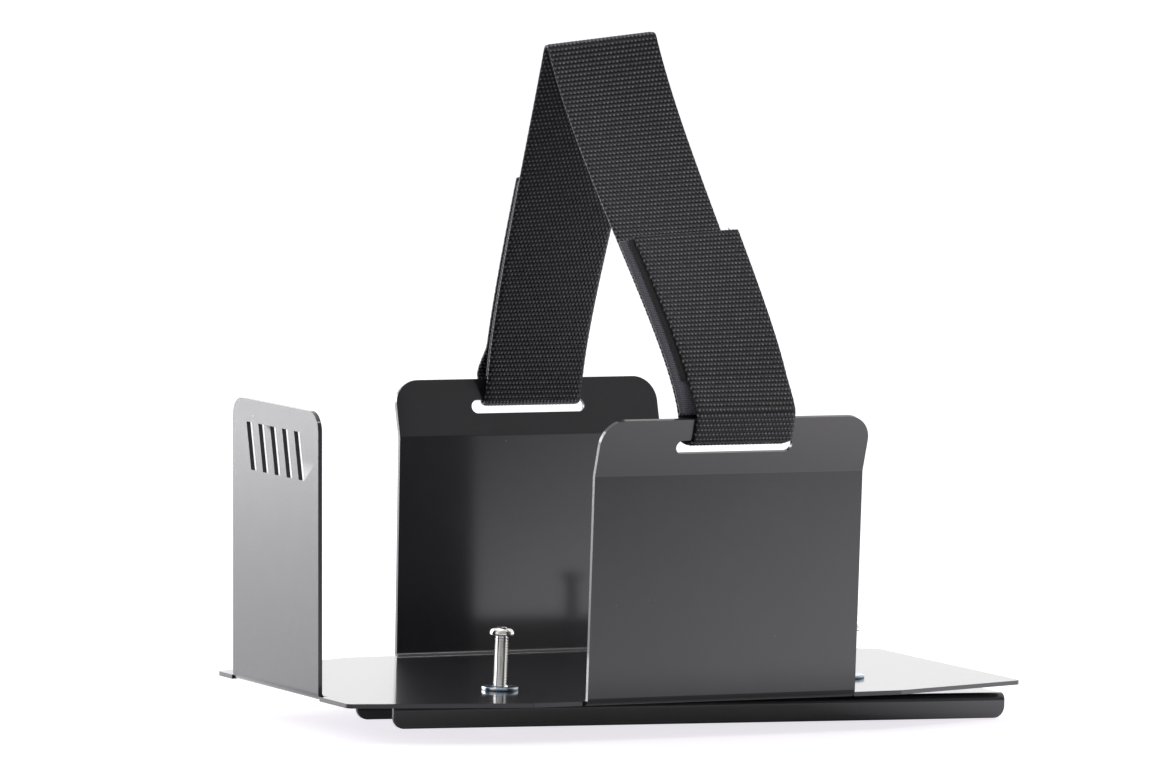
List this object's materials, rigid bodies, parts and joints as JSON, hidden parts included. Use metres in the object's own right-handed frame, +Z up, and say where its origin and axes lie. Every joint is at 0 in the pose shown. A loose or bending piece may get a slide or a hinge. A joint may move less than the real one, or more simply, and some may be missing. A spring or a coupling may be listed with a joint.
{
  "type": "cooler rack",
  "caption": "Black folded-sheet tray with three upright walls, slotted flared lips, a webbing strap arching over a cooler, and a bolted clamp channel below.",
  "frame": {"origin": "centre of the tray floor's underside, midway between the front and rear walls, where the tray sits on its carrier", "axes": "+X along the tray to its open right end, +Y to the rear wall, +Z up out of the tray"},
  "size_m": [0.3557, 0.2202, 0.3198],
  "materials": {
    "powder_coat": "satin black powder coat",
    "screw_steel": "bright stainless",
    "zinc": "blue-white zinc",
    "webbing": "black woven webbing",
    "loop_tape": "fuzzy loop tape",
    "hook_tape": "hook tape"
  },
  "bodies": {
    "root": {"tray": "powder_coat", "clamp_channel": "powder_coat", "screw_left": "screw_steel", "screw_right": "screw_steel", "nut_left": "zinc", "nut_right": "zinc", "washer_left": "zinc", "washer_right": "zinc", "strap": "webbing", "loop_tape_front": "loop_tape", "loop_tape_rear": "loop_tape", "hook_tape_front": "hook_tape", "hook_tape_rear": "hook_tape"}
  },
  "joints": []
}
